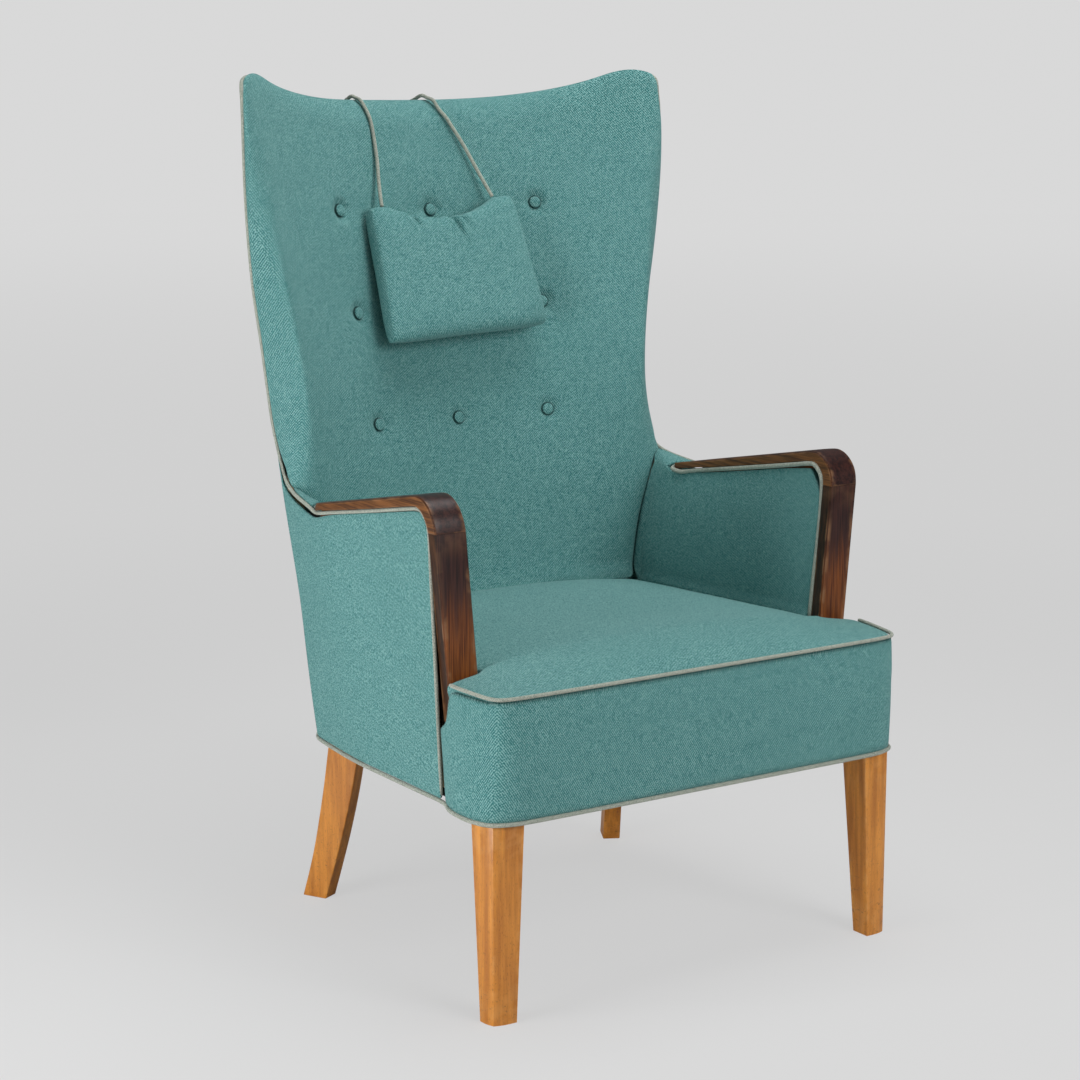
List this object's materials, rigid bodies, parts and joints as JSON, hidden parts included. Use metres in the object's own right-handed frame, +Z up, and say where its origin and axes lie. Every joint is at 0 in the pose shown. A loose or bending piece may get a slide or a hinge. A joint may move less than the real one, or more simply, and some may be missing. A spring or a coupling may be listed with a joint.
{
  "type": "wing chair",
  "caption": "High-backed fireside wing chair with bent show-wood arms, sprung seat, buttoned back, piped seams and a neck pillow hung on cords with a weight behind the back.",
  "frame": {"origin": "on the floor, below the middle of the chair's bounding box", "axes": "+Z up, -Y towards the chair's front, +X to the right as the chair is seen from its front"},
  "size_m": [0.6739, 0.7474, 1.1263],
  "materials": {
    "cover_cloth": "heathered wool twill",
    "piping_cloth": "pale grey-green corded piping",
    "arm_wood": "dark stained and lacquered, worn brown at the edges",
    "leg_wood": "honey-coloured beech, satin lacquer",
    "frame_wood": "raw beech, hidden",
    "webbing": "jute, hidden",
    "spring_steel": "coppered wire, hidden",
    "lining_cloth": "thin black lining cloth"
  },
  "bodies": {
    "chair": {"front_leg_left": "leg_wood", "front_leg_right": "leg_wood", "rear_leg_left": "leg_wood", "rear_leg_right": "leg_wood", "front_rail": "frame_wood", "side_rail_left": "frame_wood", "side_rail_right": "frame_wood", "back_seat_rail": "frame_wood", "front_corner_block_left": "frame_wood", "front_corner_block_right": "frame_wood", "rear_corner_block_left": "frame_wood", "rear_corner_block_right": "frame_wood", "back_post_left": "frame_wood", "back_post_right": "frame_wood", "wing_post_left": "frame_wood", "wing_post_right": "frame_wood", "back_lower_rail": "frame_wood", "back_middle_rail": "frame_wood", "back_top_rail": "frame_wood", "arm_rail_left": "arm_wood", "arm_rail_right": "arm_wood", "arm_post_left": "arm_wood", "arm_post_right": "arm_wood", "seat_webbing": "webbing", "seat_spring_1_1": "spring_steel", "seat_spring_1_2": "spring_steel", "seat_spring_1_3": "spring_steel", "seat_spring_2_1": "spring_steel", "seat_spring_2_2": "spring_steel", "seat_spring_2_3": "spring_steel", "seat_spring_3_1": "spring_steel", "seat_spring_3_2": "spring_steel", "seat_spring_3_3": "spring_steel", "seat_pad": "cover_cloth", "front_border": "cover_cloth", "inside_back_pad": "cover_cloth", "inside_arm_pad_left": "cover_cloth", "inside_arm_pad_right": "cover_cloth", "outside_arm_panel_left": "cover_cloth", "outside_arm_panel_right": "cover_cloth", "outside_back_panel": "cover_cloth", "dust_cover": "lining_cloth", "seat_piping": "piping_cloth", "base_piping": "piping_cloth", "back_piping": "piping_cloth", "arm_piping_left": "piping_cloth", "arm_piping_right": "piping_cloth", "back_button_1_1": "cover_cloth", "back_button_1_2": "cover_cloth", "back_button_1_3": "cover_cloth", "back_button_2_1": "cover_cloth", "back_button_2_2": "cover_cloth", "back_button_2_3": "cover_cloth", "back_button_3_1": "cover_cloth", "back_button_3_2": "cover_cloth", "back_button_3_3": "cover_cloth", "pillow_cord_left": "piping_cloth", "pillow_cord_right": "piping_cloth"},
    "pillow": {"neck_pillow": "cover_cloth"},
    "weight": {"counterweight": "cover_cloth"}
  },
  "joints": [
    {"name": "pillow_slide", "type": "slide", "parent": "chair", "child": "pillow", "axis": [0, 0.2511, 0.968], "range_m": [-0.15, 0.08], "deforming": ["pillow_cord_left", "pillow_cord_right"]},
    {"name": "weight_slide", "type": "slide", "parent": "chair", "child": "weight", "axis": [0, 0.2011, 0.9796], "range_m": [-0.08, 0.15], "deforming": ["pillow_cord_left", "pillow_cord_right"]}
  ],
  "couplings": [
    {"joint": "weight_slide", "follows": "pillow_slide", "ratio": -1}
  ]
}
